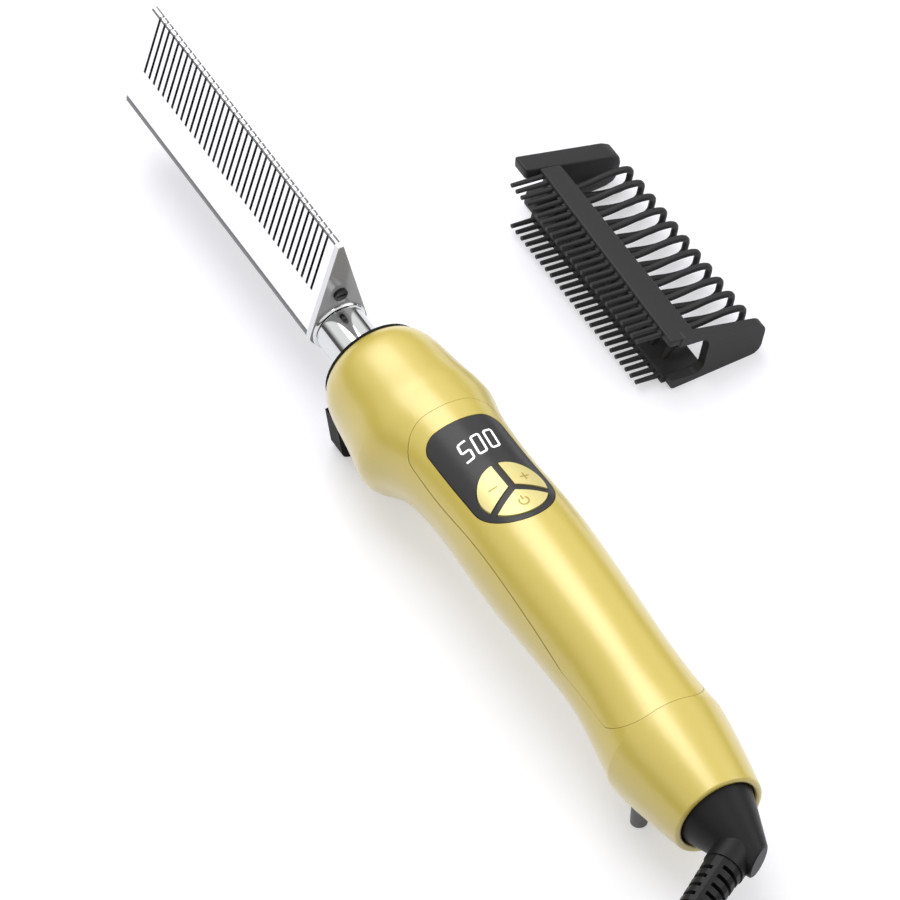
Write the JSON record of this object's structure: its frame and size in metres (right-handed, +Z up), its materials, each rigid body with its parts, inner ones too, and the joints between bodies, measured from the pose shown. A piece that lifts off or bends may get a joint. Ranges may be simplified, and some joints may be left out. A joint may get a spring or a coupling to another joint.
{
  "type": "heated pressing comb",
  "caption": "Hand-held heated comb with a slotted wedge head, a fat rounded handle with display and keys, a swivel cord and a clip-on cage guard.",
  "frame": {"origin": "on the resting surface, at the middle of the front rest's flat face", "axes": "+X from the comb's tip to the cord, +Z up, +Y to the right seen from the cord end"},
  "size_m": [0.4281, 0.1874, 0.0512],
  "materials": {
    "polished_head": "mirror polished",
    "neck_chrome": "polished",
    "gold_shell": "metallic gold lacquer",
    "black_heatproof": "satin",
    "window_black": "high gloss",
    "key_gold": "metallic gold lacquer",
    "swivel_black": "satin",
    "guard_black": "satin",
    "cord_rubber": "matt",
    "foot_rubber": "matt",
    "steel": "zinc plated",
    "brass": "bright",
    "ceramic": "matt white ceramic",
    "board_green": "solder mask",
    "display_grey": "matt",
    "inner_plastic": "matt"
  },
  "bodies": {
    "handle": {"comb_head": "polished_head", "head_screw": "steel", "heater_core": "ceramic", "temperature_probe": "steel", "neck_tube": "neck_chrome", "neck_clamp": "inner_plastic", "clamp_screws": "steel", "heater_wires": "inner_plastic", "nose_insert": "black_heatproof", "front_rest": "black_heatproof", "rear_feet": "foot_rubber", "lower_housing": "gold_shell", "top_cover": "gold_shell", "display_window": "window_black", "display_module": "display_grey", "button_switches": "inner_plastic", "control_board": "board_green", "board_screws": "steel", "filter_capacitor": "inner_plastic", "power_triac": "black_heatproof", "housing_screws": "steel", "swivel_bush": "inner_plastic", "contact_block": "inner_plastic", "contact_springs": "brass", "supply_wires": "inner_plastic"},
    "button_minus": {"button_minus": "key_gold"},
    "button_power": {"button_power": "key_gold"},
    "button_plus": {"button_plus": "key_gold"},
    "swivel": {"swivel_cap": "swivel_black", "swivel_clip": "steel", "slip_rings": "brass", "strain_relief_sleeve": "swivel_black", "cord": "cord_rubber", "cord_coil": "cord_rubber", "cord_tail": "cord_rubber", "cord_tie": "cord_rubber", "plug_body": "cord_rubber", "plug_blades": "brass"},
    "guard": {"guard_front_plate": "guard_black", "guard_rear_plate": "guard_black", "guard_upper_rail": "guard_black", "guard_lower_rail": "guard_black", "guard_upper_ribs": "guard_black", "guard_lower_ribs": "guard_black"}
  },
  "joints": [
    {"name": "button_minus_press", "type": "slide", "parent": "handle", "child": "button_minus", "axis": [0, 0, -1], "range_m": [0, 0.0005], "stiffness_N_per_m": 1500},
    {"name": "button_power_press", "type": "slide", "parent": "handle", "child": "button_power", "axis": [0, 0, -1], "range_m": [0, 0.0005], "stiffness_N_per_m": 1500},
    {"name": "button_plus_press", "type": "slide", "parent": "handle", "child": "button_plus", "axis": [0, 0, -1], "range_m": [0, 0.0005], "stiffness_N_per_m": 1500},
    {"name": "cord_swivel", "type": "hinge", "parent": "handle", "child": "swivel", "pos_m": [0.166, 0, 0.022], "axis": [1, 0, 0], "continuous": true},
    {"name": "guard_lift", "type": "slide", "parent": "handle", "child": "guard", "axis": [0, 0, 1], "range_m": [0, 0.12]}
  ]
}
